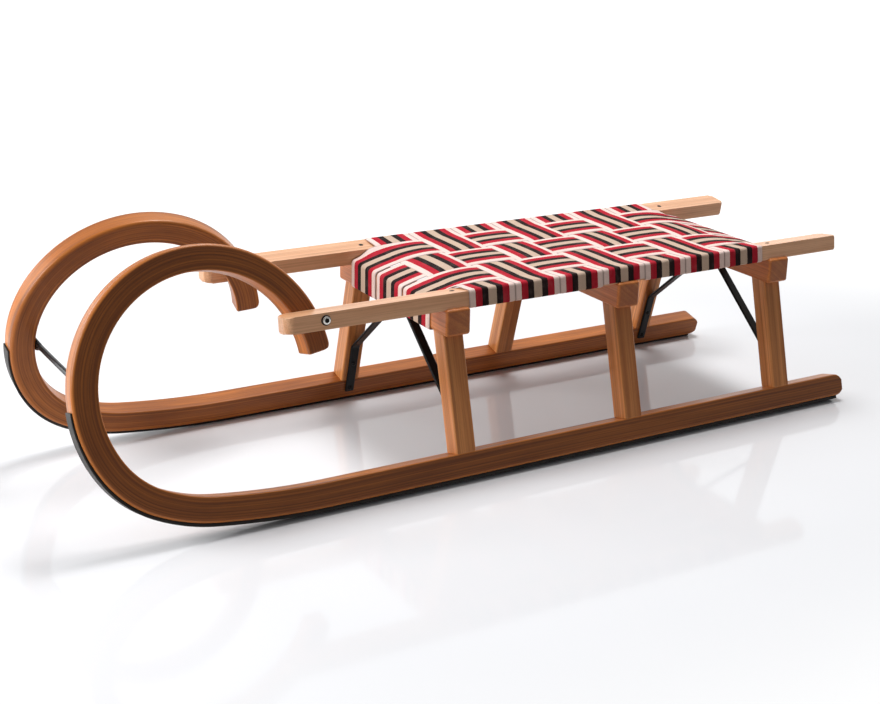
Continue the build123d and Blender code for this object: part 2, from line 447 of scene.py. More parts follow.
@dataclass(frozen=True)
class StripedWebbing:
    """Flat woven webbing with coloured warp stripes, the same from its middle to both edges, with painted
    shade in the hollows between threads and along each strap's edges.
    """

    name: str
    beige: Colour
    black: Colour
    red: Colour
    white: Colour
    # Colour of the painted shade along each strap's edges, for the gap between neighbouring straps.
    gap_shade: Colour
    half_width: float = 0.0375
    beige_ends: float = 0.0066  # from the middle
    black_ends: float = 0.0167
    red_ends: float = 0.0277
    cord: float = 0.00145  # from one ridge to the next
    pick: float = 0.0021
    thread_shade: float = 0.26
    gap_shade_from: float = 0.955  # share of the half width
    gap_shade_to: float = 0.998
    gap_shade_share: float = 0.45
    fray: float = 0.0008  # how far a stripe's edge wanders
    fuzz_scale: Scale = (420.0, 900.0, 60.0)
    worn_scale: Scale = (55.0, 90.0, 20.0)
    worn_edge: tuple[float, float] = (0.45, 0.75)
    worn_share: float = 0.04
    hollow_edge: tuple[float, float] = (-0.25, 0.55)  # thread height, from a hollow to a ridge
    hollow_fuzz: float = 0.9
    cord_height: float = 0.55
    pick_height: float = 0.2
    fuzz_height: float = 0.5
    roughness: float = 0.88
    shine: float = 0.12
    sheen: float = 0.02
    sheen_rough: float = 0.45
    relief_depth: float = 0.00040
    relief_share: float = 0.8

    def material(self) -> bpy.types.Material:
        """Build the cloth.

        Returns:
            The material.
        """
        board = Board(self.name)
        cloth = board.stored("grain")
        along, across, _ = board.apart(cloth)
        fuzz = board.sum(board.noise(cloth, self.fuzz_scale), -0.5)
        edge = board.sum(board.maths("ABSOLUTE", across), board.times(fuzz, self.fray))
        share = board.times(edge, 1.0 / self.half_width)
        stops = (
            (0.0, self.beige),
            (self.beige_ends / self.half_width, self.black),
            (self.black_ends / self.half_width, self.red),
            (self.red_ends / self.half_width, self.white),
        )
        tone = board.stripes(share, stops)
        cord = board.maths("SINE", board.times(across, math.tau / self.cord))
        shift = board.times(board.maths("SIGN", cord), math.pi / 2)
        pick = board.maths("SINE", board.sum(board.times(along, math.tau / self.pick), shift))
        ridge = board.times(board.maths("ABSOLUTE", cord), self.cord_height)
        thread = board.sum(ridge, board.times(pick, self.pick_height))
        worn = board.noise(cloth, self.worn_scale, 3.0)
        # Painted shade: the hollows between threads are darkened towards the black stripe colour.
        shade = board.fade(board.sum(thread, board.times(fuzz, self.hollow_fuzz)), *self.hollow_edge)
        hollow = board.times(board.maths("SUBTRACT", 1.0, shade), self.thread_shade)
        tone = board.mix(hollow, tone, self.black)
        tone = board.mix(board.times(board.fade(worn, *self.worn_edge), self.worn_share), tone, self.white)
        # Painted shade: a darker band along each strap's edges stands for the gap between neighbouring
        # straps.
        gap_shade = board.fade(share, self.gap_shade_from, self.gap_shade_to)
        tone = board.mix(board.times(gap_shade, self.gap_shade_share), tone, self.gap_shade)
        board.surface(Base_Color=tone, Roughness=self.roughness, Specular_IOR_Level=self.shine)
        board.surface(Sheen_Weight=self.sheen, Sheen_Roughness=self.sheen_rough)
        height = board.sum(thread, board.times(fuzz, self.fuzz_height))
        board.relief(height, self.relief_depth, self.relief_share)
        return board.material


@dataclass(frozen=True)
class WornMetal:
    """Metal with long scratches, faint blotches and brighter rubbed edges."""

    name: str
    base: Colour
    rubbed: Colour
    metallic: float
    roughness: float
    pits: float = 260.0  # per metre
    pit_depth: float = 0.00008
    scratch_share: float = 0.55
    edge_share: float = 0.7
    scratch_scale: Scale = (8.0, 900.0, 900.0)
    blotch_scale: Scale = (35.0, 60.0, 60.0)
    # Noise levels between which each of these goes from none to all.
    blotch_edge: tuple[float, float] = (0.35, 0.70)
    scratch_edge: tuple[float, float] = (0.42, 0.66)
    rubbed_edge: tuple[float, float] = (0.3, 0.6)
    scratch_rough: float = 0.24  # how far the roughness swings over the scratches
    scratch_height: float = 0.5
    shine: float = 0.22
    relief_share: float = 0.6

    def material(self) -> bpy.types.Material:
        """Build the metal.

        Returns:
            The material.
        """
        board = Board(self.name)
        grain = board.stored("grain")
        scratches = board.noise(grain, self.scratch_scale, 3.0)
        blotch = board.noise(grain, self.blotch_scale, 3.0)
        tone = board.mix(board.fade(blotch, *self.blotch_edge), self.base, self.rubbed)
        scratched = board.times(board.fade(scratches, *self.scratch_edge), self.scratch_share)
        tone = board.mix(scratched, self.base, tone)
        edge = board.times(board.stored("wear_and_highlight", "Fac"), board.fade(blotch, *self.rubbed_edge))
        tone = board.mix(board.times(edge, self.edge_share), tone, self.rubbed)
        swing = board.times(scratches, self.scratch_rough)
        rough = board.sum(swing, self.roughness - self.scratch_rough / 2)
        board.surface(Base_Color=tone, Roughness=rough, Metallic=self.metallic)
        board.surface(Specular_IOR_Level=self.shine)
        pits = board.noise(grain, (self.pits, self.pits, self.pits))
        height = board.sum(pits, board.times(scratches, self.scratch_height))
        board.relief(height, self.pit_depth, self.relief_share)
        return board.material


@dataclass(frozen=True)
class PolishedFloor:
    """Pale studio floor with a faint gloss, which runs out into plain white away from the sled."""

    name: str
    colour: Colour
    bounce: Colour  # how pale it is for the light that it throws back up
    roughness: float
    dull_from: float = 0.10  # to the sled's left, where it starts to throw back less light
    dull_to: float = 0.55
    dull_share: float = 0.45
    white_from: float = 0.56  # from the sled's middle
    white_to: float = 1.05
    stretch_x: float = 0.62
    sweep_scale: Scale = (1.5, 1.5, 1.5)
    sweep_rough: float = 0.04  # how far the roughness swings
    shine: float = 0.28

    def material(self) -> bpy.types.Material:
        """Build the floor.

        Returns:
            The material.
        """
        board = Board(self.name)
        ground = board.tree.nodes.new("ShaderNodeTexCoord").outputs["Object"]
        away = board.tree.nodes.new("ShaderNodeVectorMath")
        away.operation = "LENGTH"
        board.feed(away.inputs[0], board.stretch(ground, (self.stretch_x, 1.0, 1.0)))
        seen = board.seen()
        clear = board.times(board.fade(away.outputs["Value"], self.white_from, self.white_to), seen)
        _, side, _ = board.apart(ground)
        dull = board.times(board.fade(side, self.dull_from, self.dull_to), self.dull_share)
        thrown = board.mix(dull, self.bounce, BLACK)
        tone = board.mix(clear, board.mix(seen, thrown, self.colour), BLACK)
        sweep = board.noise(ground, self.sweep_scale)
        swing = board.times(sweep, self.sweep_rough)
        rough = board.sum(swing, self.roughness - self.sweep_rough / 2)
        board.surface(Base_Color=tone, Roughness=rough, Specular_IOR_Level=self.shine)
        board.surface(Emission_Color=WHITE, Emission_Strength=clear)
        return board.material


# ---- Meshes -----------------------------------------------------------------------------------

CORNER_STEPS = 6  # faces on a corner rounded as seen from above
BEND_STEPS = 7  # gaps between points on the round of a bent line
BEND_SHARE = 0.49  # a round takes just less than half of the stretch on each side


@dataclass
class Blank:
    """Points, faces and stored coordinates of a piece, before it becomes an object."""

    points: list[Vector] = field(default_factory=list)
    faces: list[tuple[int, ...]] = field(default_factory=list)
    grain: list[Vector] = field(default_factory=list)
    wear_and_highlight: list[float] = field(default_factory=list)

    def add(self, other: Blank) -> None:
        """Take in another blank.

        Args:
            other: The blank whose points and faces are taken in.
        """
        start = len(self.points)
        self.points += other.points
        self.grain += other.grain
        self.wear_and_highlight += other.wear_and_highlight
        self.faces += [tuple(start + i for i in face) for face in other.faces]

    def placed(self, matrix: Matrix) -> Blank:
        """The same blank moved by a matrix, with its stored coordinates kept."""
        self.points = [matrix @ point for point in self.points]
        return self

    def shifted(self, offset: Sequence[float]) -> Blank:
        """Move the stored coordinates, so that like pieces are cut from different wood."""
        self.grain = [place + Vector(offset) for place in self.grain]
        return self


def skin(
    rings: Sequence[Ring], grain: Sequence[Ring], wear_and_highlight: Sequence[float] = (), capped: bool = True
) -> Blank:
    """Join closed rings of points in order into one surface.

    Args:
        rings: The rings, each with the same number of points.
        grain: The stored coordinates, in the same shape.
        wear_and_highlight: How much each point of a ring is rubbed, and on wood lit by a painted highlight,
            the same on every ring.
        capped: Close the first and last ring with a face.

    Returns:
        The finished surface.
    """
    count = len(rings[0])
    blank = Blank()
    for ring, stored in zip(rings, grain):
        blank.points += ring
        blank.grain += stored
        blank.wear_and_highlight += list(wear_and_highlight) if wear_and_highlight else [0.0] * count
    for row in range(len(rings) - 1):
        low, high = row * count, (row + 1) * count
        for i in range(count):
            j = (i + 1) % count
            blank.faces.append((low + i, low + j, high + j, high + i))
    if capped:
        last = (len(rings) - 1) * count
        blank.faces.append(tuple(reversed(range(count))))
        blank.faces.append(tuple(range(last, last + count)))
    return blank


def bar(size: Sequence[float], edge: float, corners: tuple[float, float] = (0.0, 0.0)) -> Blank:
    """A straight bar along X, centred, with softened edges and maybe rounded plan corners.

    Args:
        size: Length, width and depth.
        edge: Radius of the edges.
        corners: Radius of the front and rear corners seen from above, or 0 for square ones.

    Returns:
        The bar.
    """
    half = [extent / 2 for extent in size]
    outline = []
    for turn, (sx, sy) in enumerate(((1, 1), (-1, 1), (-1, -1), (1, -1))):
        radius = corners[0] if sx > 0 else corners[1]
        steps = CORNER_STEPS if radius else 0
        for step in range(steps + 1):
            angle = math.pi / 2 * (turn + step / max(steps, 1))
            x = sx * (half[0] - radius) + radius * math.cos(angle)
            outline.append((x, sy * (half[1] - radius) + radius * math.sin(angle)))
    mesh = bmesh.new()
    low = [mesh.verts.new((x, y, -half[2])) for x, y in outline]
    high = [mesh.verts.new((x, y, half[2])) for x, y in outline]
    rim = [mesh.faces.new(list(reversed(low))), mesh.faces.new(high)]
    edges = set(rim[0].edges) | set(rim[1].edges)
    for i, vertex in enumerate(low):
        j = (i + 1) % len(low)
        side = mesh.faces.new((vertex, low[j], high[j], high[i]))
        if not any(corners):
            edges |= set(side.edges)
    bmesh.ops.bevel(mesh, geom=list(edges), offset=edge, segments=3, profile=0.5, affect="EDGES")
    mesh.verts.index_update()
    blank = Blank()
    for vertex in mesh.verts:
        gaps = sorted(half[axis] - abs(vertex.co[axis]) for axis in range(3))
        blank.points.append(vertex.co.copy())
        blank.grain.append(vertex.co.copy())
        blank.wear_and_highlight.append(max(0.0, 1.0 - gaps[1] / edge))
    blank.faces = [tuple(vertex.index for vertex in face.verts) for face in mesh.faces]
    mesh.free()
    return blank


def lathe(profile: Sequence[tuple[float, float]], around: int = 24, socket: int = 0) -> Blank:
    """Turn a profile round Z.

    Args:
        profile: Radius and height of each ring, from the rim to the middle.
        around: Points on a ring.
        socket: How many of the last rings are hexagons, for a key.

    Returns:
        The turned piece, open underneath.
    """
    rings = []
    for row, (radius, height) in enumerate(profile):
        ring = []
        for step in range(around):
            angle = math.tau * step / around
            reach = radius
            if row >= len(profile) - socket:
                reach = radius / math.cos((angle + math.pi / 6) % (math.pi / 3) - math.pi / 6)
            ring.append(Vector((reach * math.cos(angle), reach * math.sin(angle), height)))
        rings.append(ring)
    blank = skin(rings, rings, capped=False)
    last = (len(rings) - 1) * around
    blank.faces.append(tuple(range(last, last + around)))
    return blank


def rounded(corners: Sequence[Vector], radii: Sequence[float]) -> list[Vector]:
    """Round the inner corners of a line.

    Args:
        corners: The line's corners.
        radii: The radius at each inner corner.

    Returns:
        The rounded line.
    """
    line = [corners[0]]
    for before, corner, after, radius in zip(corners, corners[1:], corners[2:], radii):
        back, ahead = (before - corner).normalized(), (after - corner).normalized()
        opening = back.angle(ahead)
        longest = BEND_SHARE * min((before - corner).length, (after - corner).length)
        reach = min(radius / math.tan(opening / 2), longest)
        round_radius = reach * math.tan(opening / 2)
        middle = corner + (back + ahead).normalized() * round_radius / math.sin(opening / 2)
        start = (corner + back * reach - middle).normalized()
        end = (corner + ahead * reach - middle).normalized()
        for step in range(BEND_STEPS + 1):
            line.append(middle + start.slerp(end, step / BEND_STEPS) * round_radius)
    line.append(corners[-1])
    return line


def spaced(line: Sequence[Vector], longest: float) -> list[Vector]:
    """Add points to a line where two are too far apart.

    Args:
        line: The line's points.
        longest: The longest gap that stays as it is.

    Returns:
        The denser line.
    """
    dense = [line[0]]
    for start, end in zip(line, line[1:]):
        gap = (end - start).length
        if gap < 1e-6:
            continue
        pieces = max(1, math.ceil(gap / longest))
        dense += [start.lerp(end, i / pieces) for i in range(1, pieces + 1)]
    return dense


def ribbon(
    line: Sequence[Vector],
    across: Vector,
    width: float,
    thickness: float,
    columns: int,
    crown: Callable[[Vector, float], float] | None = None,
) -> Blank:
    """A flat band that follows a line lying square to its width.

    Args:
        line: Middle of the band's thickness.
        across: Unit vector along the width.
        width: The band's width.
        thickness: The band's thickness.
        columns: Points across the width, on each face.
        crown: How far the band lifts at a place on the line and a share of the half width.

    Returns:
        The band, with its length and width stored.
    """
    crowding = 1.35  # how much closer the points stand towards the edges
    flatness = 24  # how square the edges are
    rim = 0.12  # share of the thickness left at the very edge, on each side of the middle
    underside = 0.01  # sets the stored coordinates of the two faces apart
    rings, stored = [], []
    reach = 0.0
    for i, place in enumerate(line):
        ahead = (line[min(i + 1, len(line) - 1)] - line[max(i - 1, 0)]).normalized()
        up = ahead.cross(across)
        reach += (place - line[i - 1]).length if i else 0.0
        top, bottom, top_grain, bottom_grain = [], [], [], []
        for column in range(columns):
            share = 2 * column / (columns - 1) - 1
            share = math.copysign(1 - (1 - abs(share)) ** crowding, share)
            half = thickness / 2 * math.sqrt(max(0.0, 1 - abs(share) ** flatness)) + thickness * rim
            half = min(half, thickness / 2)
            lift = crown(place, share) if crown else 0.0
            middle = place + across * share * width / 2 + up * lift
            top.append(middle + up * half)
            bottom.append(middle - up * half)
            top_grain.append(Vector((reach, share * width / 2, 0.0)))
            bottom_grain.append(Vector((reach, share * width / 2, underside)))
        rings.append(top + bottom[::-1])
        stored.append(top_grain + bottom_grain[::-1])
    return skin(rings, stored)


def standing(point: Vector, outward: Vector) -> Matrix:
    """The move that stands a screw's Z along outward at a point."""
    return Matrix.Translation(point) @ outward.to_track_quat("Z", "Y").to_matrix().to_4x4()


class Workshop:
    """Turns blanks into objects that ride with the sled, and keeps the materials."""

    body = "root"

    def __init__(self) -> None:
        """Start with no materials."""
        self.materials: dict[str, bpy.types.Material] = {}

    def material(self, finish: object) -> bpy.types.Material:
        """A finish's material, built once.

        Args:
            finish: One of the finishes above.

        Returns:
            Its material.
        """
        if finish.name not in self.materials:
            self.materials[finish.name] = finish.material()
        return self.materials[finish.name]

    def deliver(
        self,
        name: str,
        blank: Blank,
        finish: object,
        slot: str,
        nodes: Sequence[str] = (),
        crisp: float = 50.0,
    ) -> bpy.types.Object:
        """Make the object, dress it, hang it on the sled's body and hide the frame's nodes that it stands
        for.

        Args:
            name: The piece's name.
            blank: Its mesh.
            finish: Its finish.
            slot: The record's material slot meant for it; not used.
            nodes: The frame's nodes that it stands for.
            crisp: Angle in degrees over which an edge stays sharp.

        Returns:
            The finished object.
        """
        mesh = bpy.data.meshes.new(name)
        mesh.from_pydata([tuple(point) for point in blank.points], [], blank.faces)
        for label, kind, values in (
            ("grain", "FLOAT_VECTOR", [x for place in blank.grain for x in place]),
            ("wear_and_highlight", "FLOAT", blank.wear_and_highlight),
        ):
            stored = mesh.attributes.new(label, kind, "POINT")
            stored.data.foreach_set("vector" if kind == "FLOAT_VECTOR" else "value", values)
        shape = bmesh.new()
        shape.from_mesh(mesh)
        bmesh.ops.recalc_face_normals(shape, faces=shape.faces)
        shape.to_mesh(mesh)
        shape.free()
        mesh.polygons.foreach_set("use_smooth", [True] * len(mesh.polygons))
        mesh.set_sharp_from_angle(angle=math.radians(crisp))
        mesh.materials.append(self.material(finish))
        piece = bpy.data.objects.new(name, mesh)
        bpy.context.scene.collection.objects.link(piece)
        even = piece.modifiers.new("even_shading", "WEIGHTED_NORMAL")
        even.keep_sharp = True
        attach(piece, self.body)
        if nodes:
            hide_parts(*nodes)
        LOG.info("made %s: %d faces", name, len(mesh.polygons))
        return piece


# ---- Runners and shoes ------------------------------------------------------------------------


@dataclass(frozen=True)
class Stance:
    """How the runners and legs stand and lean."""

    splay: float = math.radians(15)
    foot_y: float = 0.1725
    runner_width: float = 0.030
    runner_depth: float = 0.0345
    shoe_width: float = 0.022
    shoe_thickness: float = 0.005
    trestles: tuple[tuple[str, float], ...] = (("front", 0.083), ("middle", -0.207), ("rear", -0.497))

    @property
    def foot_z(self) -> float:
        """Height of a runner's inner lower edge over the floor, on its shoe."""
        inset = (self.runner_width - self.shoe_width) / 2
        return self.shoe_thickness * math.cos(self.splay) - inset * math.sin(self.splay)

    def braced(self) -> tuple[tuple[str, float], ...]:
        """The front and rear trestles, which have an iron brace and a screw in each rail."""
        return (self.trestles[0], self.trestles[-1])

    def outward(self, side: Side) -> Vector:
        """Unit vector square to a runner's outer face."""
        return Vector((0, side.value * math.cos(self.splay), math.sin(self.splay)))

    def upward(self, side: Side) -> Vector:
        """Unit vector up the lean."""
        return Vector((0, -side.value * math.sin(self.splay), math.cos(self.splay)))

    def point(self, side: Side, x: float, lateral: float, height: float) -> Vector:
        """A point given from the runner's inner lower edge.

        Args:
            side: Which runner.
            x: Place along the sled.
            lateral: Distance outwards across the sole.
            height: Distance up the lean.

        Returns:
            The point in the sled's frame.
        """
        foot = Vector((x, side.value * self.foot_y, self.foot_z))
        return foot + self.outward(side) * lateral + self.upward(side) * height


@dataclass(frozen=True)
class Station:
    """One place on a runner's sole line, with the directions of its section."""

    centre: Vector
    lateral: Vector
    normal: Vector
    reach: float


@dataclass
class Runner:
    """A bent runner with its horn, and the steel shoe below it."""

    stance: Stance
    rear_end: float = -0.626
    bend_start: float = 0.289
    bends: tuple[tuple[float, float], ...] = (
        (1.230, 7.8),
        (0.256, 18.3),
        (0.149, 32.3),
        (0.181, 204.5),
    )
    spring_start: float = 0.340
    sprung_in: float = 0.0215
    sole_round: float = 0.005
    rim_round: float = 0.0022
    rear_top_round: float = 0.016
    rear_sole_round: float = 0.012
    tail_sole_round: float = 0.008
    shoe_end_height: float = 0.183
    shoe_end_thin: float = 0.50  # share of its thickness that the shoe loses up to its end
    shoe_thins_from: float = 0.020  # height at which it starts to
    shoe_ease: float = 0.0009
    end_narrow: float = 0.10  # share that the section loses right at its two ends
    end_reach: float = 0.0015  # how far from them it starts to
    end_squash: float = 0.93
    rear_gaps: tuple[float, ...] = (0.0, 0.0006, 0.0014, 0.003, 0.0055, 0.009, 0.012, 0.016)
    tail_gaps: tuple[float, ...] = (0.0030, 0.0016, 0.0006)  # last sections before the horn's end
    flat_step: float = 0.012
    bend_step: float = 0.004

    def plain_line(self) -> list[tuple[float, float, float]]:
        """The sole line before the horn closes inwards.

        Returns:
            Forward place, height and reach of each point.
        """
        line = []
        flat = self.bend_start - self.rear_end
        rounded_rear = self.rear_gaps[-1]
        steps = round((flat - rounded_rear) / self.flat_step)
        reaches = [*self.rear_gaps, *(rounded_rear + self.flat_step * i for i in range(1, steps))]
        for reach in reaches:
            line.append((self.rear_end + reach, 0.0, reach))
        x, height, angle, reach = self.bend_start, 0.0, 0.0, flat
        for radius, turn in self.bends:
            sweep = math.radians(turn)
            pieces = math.ceil(radius * sweep / self.bend_step)
            shares = [i / pieces for i in range(pieces)]
            if (radius, turn) == self.bends[-1]:
                shares += [1 - gap / radius / sweep for gap in self.tail_gaps]
            for share in sorted(shares):
                part = angle + sweep * share
                forward = x + radius * (math.sin(part) - math.sin(angle))
                risen = height + radius * (math.cos(angle) - math.cos(part))
                line.append((forward, risen, reach + radius * sweep * share))
            x += radius * (math.sin(angle + sweep) - math.sin(angle))
            height += radius * (math.cos(angle) - math.cos(angle + sweep))
            reach += radius * sweep
            angle += sweep
        line.append((x, height, reach))
        return line

    def stations(self, side: Side) -> list[Station]:
        """Sections along the runner, carried round the bend without twist.

        Args:
            side: Which runner.

        Returns:
            The stations from the rear end to the horn's tail.
        """
        line = self.plain_line()
        flat = self.bend_start - self.rear_end
        bend = line[-1][2] - flat
        centres = []
        for x, height, reach in line:
            closing = max(0.0, reach - flat - self.spring_start) / (bend - self.spring_start)
            inwards = self.sprung_in * closing**1.5
            centre = self.stance.point(side, x, self.stance.runner_width / 2 - inwards, height)
            centres.append(centre)
        stations = []
        lateral = self.stance.outward(side)
        for i, centre in enumerate(centres):
            ahead = centres[min(i + 1, len(centres) - 1)] - centres[max(i - 1, 0)]
            ahead.normalize()
            lateral = (lateral - ahead * lateral.dot(ahead)).normalized()
            normal = side.value * ahead.cross(lateral)
            stations.append(Station(centre, lateral.copy(), normal, line[i][2]))
        return stations

    def section(self) -> tuple[list[tuple[float, float]], list[float]]:
        """The runner's rounded section.

        Returns:
            Its points from the middle of the sole, and how much each is rubbed.
        """
        steps = 5
        half, depth = self.stance.runner_width / 2, self.stance.runner_depth
        outline, wear_and_highlight = [], []
        corners = (
            (half, 0.0, self.sole_round, -90),
            (half, depth, self.rim_round, 0),
            (-half, depth, self.rim_round, 90),
            (-half, 0.0, self.sole_round, 180),
        )
        for x, y, radius, start in corners:
            middle_x = x - math.copysign(radius, x)
            middle_y = y + radius if y == 0 else y - radius
            for step in range(steps + 1):
                angle = math.radians(start + 90 / steps * step)
                place = (middle_x + radius * math.cos(angle), middle_y + radius * math.sin(angle))
                outline.append(place)
                wear_and_highlight.append(math.sin(math.pi * step / steps))
        return outline, wear_and_highlight

    @staticmethod
    def rounding(gap: float, radius: float) -> float:
        """How much a rounded corner takes away at a distance from the end."""
        return radius - math.sqrt(radius**2 - (radius - gap) ** 2) if gap < radius else 0.0

    def wood(self, side: Side) -> Blank:
        """The bent runner.

        Args:
            side: Which one.

        Returns:
            Its mesh.
        """
        outline, wear_and_highlight = self.section()
        depth = self.stance.runner_depth
        rings, stored = [], []
        stations = self.stations(side)
        tail = stations[-1].reach
        for station in stations:
            top = depth - self.rounding(station.reach, self.rear_top_round)
            sole = self.rounding(station.reach, self.rear_sole_round)
            sole += self.rounding(tail - station.reach, self.tail_sole_round)
            squeeze = (top - sole) / depth
            ends = min(station.reach, tail - station.reach)
            narrow = 1.0 - self.end_narrow * max(0.0, 1.0 - ends / self.end_reach)
            ring, grain = [], []
            for across, up in outline:
                level = sole + up * squeeze
                level = depth / 2 + (level - depth / 2) * (narrow if ends else self.end_squash)
                sideways = station.lateral * across * narrow
                ring.append(station.centre + sideways + station.normal * level)
                grain.append(Vector((station.reach, across, level)))
            rings.append(ring)
            stored.append(grain)
        return skin(rings, stored, wear_and_highlight)

    def steel(self, side: Side) -> Blank:
        """The shoe: a flat bar under the sole and up to the nose.

        Args:
            side: Which one.

        Returns:
            Its mesh.
        """
        half, thick = self.stance.shoe_width / 2, self.stance.shoe_thickness
        ease = self.shoe_ease
        outline = [
            (half, -ease),
            (half - ease * 0.3, 0.0),
            (-half + ease * 0.3, 0.0),
            (-half, -ease),
            (-half, -thick + ease),
            (-half + ease, -thick),
            (half - ease, -thick),
            (half, -thick + ease),
        ]
        wear_and_highlight = [0.0] * 4 + [1.0] * 4
        rings, stored = [], []
        for station, (_, height, reach) in zip(self.stations(side), self.plain_line()):
            if reach < self.rear_sole_round - 1e-6:
                continue
            if height > self.shoe_end_height:
                break
            risen = max(0.0, height - self.shoe_thins_from)
            left = 1 - self.shoe_end_thin * risen / (self.shoe_end_height - self.shoe_thins_from)
            ring = [station.centre + station.lateral * a + station.normal * b * left for a, b in outline]
            rings.append(ring)
            stored.append([Vector((reach, a, b)) for a, b in outline])
        return skin(rings, stored, wear_and_highlight)


@dataclass
class RunnerPair:
    """Both runners with their shoes."""

    shop: Workshop
    runner: Runner
    wood: OiledAsh
    steel: WornMetal

    def build(self) -> None:
        """Make and dress both sides."""
        for side in Side:
            wood = self.runner.wood(side).shifted((2.0 * side.value, 0.0, 0.05 * side.value))
            node = f"runner_{side.label}"
            self.shop.deliver(f"bent_{node}", wood, self.wood, "runner_wood", (node,))
            node = f"shoe_{side.label}"
            self.shop.deliver(
                f"steel_{node}", self.runner.steel(side), self.steel, "shoe_steel", (node,), 30.0
            )


# ---- Trestles ---------------------------------------------------------------------------------


@dataclass
class Trestles:
    """Three trestles: a square crossbar on two leaning legs."""

    shop: Workshop
    stance: Stance
    leg_wood: OiledAsh
    bar_wood: OiledAsh
    leg_length_x: float = 0.031
    leg_edge: float = 0.0026
    leg_sunk: float = 0.0015
    leg_top: float = 0.213
    bar_side: float = 0.039
    bar_length: float = 0.326
    bar_bottom: float = 0.2065
    bar_edge: float = 0.0044

    def leg(self, side: Side, x: float) -> Blank:
        """One leg, with its foot let into the runner and its head in the crossbar.

        Args:
            side: Which leg.
            x: The trestle's place along the sled.

        Returns:
            Its mesh.
        """
        foot = self.stance.runner_depth - self.leg_sunk
        head = (self.leg_top - self.stance.foot_z) / math.cos(self.stance.splay)
        size = (head - foot, self.stance.runner_width, self.leg_length_x)
        blank = bar(size, self.leg_edge)
        middle = self.stance.point(side, x, self.stance.runner_width / 2, (head + foot) / 2)
        along = Vector((side.value, 0, 0))
        turn = Matrix((self.stance.upward(side), self.stance.outward(side), along)).transposed()
        return blank.placed(Matrix.Translation(middle) @ turn.to_4x4())

    def crossbar(self, x: float) -> Blank:
        """One crossbar.

        Args:
            x: The trestle's place along the sled.

        Returns:
            Its mesh.
        """
        blank = bar((self.bar_length, self.bar_side, self.bar_side), self.bar_edge)
        middle = Vector((x, 0, self.bar_bottom + self.bar_side / 2))
        return blank.placed(Matrix.Translation(middle) @ Matrix.Rotation(math.pi / 2, 4, "Z"))

    def build(self) -> None:
        """Make and dress the three trestles."""
        for number, (place, x) in enumerate(self.stance.trestles):
            beam = self.crossbar(x).shifted((0.7 * number, 0.11 * number, 0.05 * number))
            node = f"crossbar_{place}"
            self.shop.deliver(f"trestle_{node}", beam, self.bar_wood, "trestle_wood", (node,))
            for side in Side:
                seed = 1.3 * number + 0.4 * side.value
                leg = self.leg(side, x).shifted((seed, 0.21 * number, 0.07 * side.value))
                node = f"leg_{place}_{side.label}"
                self.shop.deliver(f"trestle_{node}", leg, self.leg_wood, "trestle_wood", (node,))


# ---- Seat rails -------------------------------------------------------------------------------


@dataclass
class SeatRails:
    """Two long rails with rounded ends, tops leaning to the seat."""

    shop: Workshop
    wood: OiledAsh
    rear: float = -0.620
    front: float = 0.338
    width: float = 0.036
    depth: float = 0.0228
    outer_y: float = 0.1536
    top_z: float = 0.2664
    tilt: float = math.radians(8.4)
    corners: tuple[float, float] = (0.012, 0.005)  # front and rear, seen from above
    edge: float = 0.0028

    def point(self, side: Side, x: float, inwards: float, up: float) -> Vector:
        """A point given from the rail's outer top edge, along its tilted faces.

        Args:
            side: Which rail.
            x: Place along the sled.
            inwards: Distance across the top.
            up: Distance square to the top.

        Returns:
            The point in the sled's frame.
        """
        c, s = math.cos(self.tilt), math.sin(self.tilt)
        y = self.outer_y - inwards * c - up * s
        return Vector((x, side.value * y, self.top_z - inwards * s + up * c))

    def outward(self, side: Side) -> Vector:
        """Unit vector square to the outer face."""
        return Vector((0, side.value * math.cos(self.tilt), math.sin(self.tilt)))

    def upward(self, side: Side) -> Vector:
        """Unit vector square to the top."""
        return Vector((0, -side.value * math.sin(self.tilt), math.cos(self.tilt)))

    def rail(self, side: Side) -> Blank:
        """One rail.

        Args:
            side: Which one.

        Returns:
            Its mesh.
        """
        blank = bar((self.front - self.rear, self.width, self.depth), self.edge, self.corners)
        middle = self.point(side, (self.front + self.rear) / 2, self.width / 2, -self.depth / 2)
        across = self.outward(side) * side.value
        turn = Matrix((Vector((1, 0, 0)), across, self.upward(side))).transposed()
        return blank.placed(Matrix.Translation(middle) @ turn.to_4x4())

    def build(self) -> None:
        """Make and dress both rails."""
        for side in Side:
            rail = self.rail(side).shifted((3.0 * side.value, 0.3, 0.13 * side.value))
            node = f"rail_{side.label}"
            self.shop.deliver(f"seat_{node}", rail, self.wood, "rail_wood", (node,))


# ---- Woven seat -------------------------------------------------------------------------------


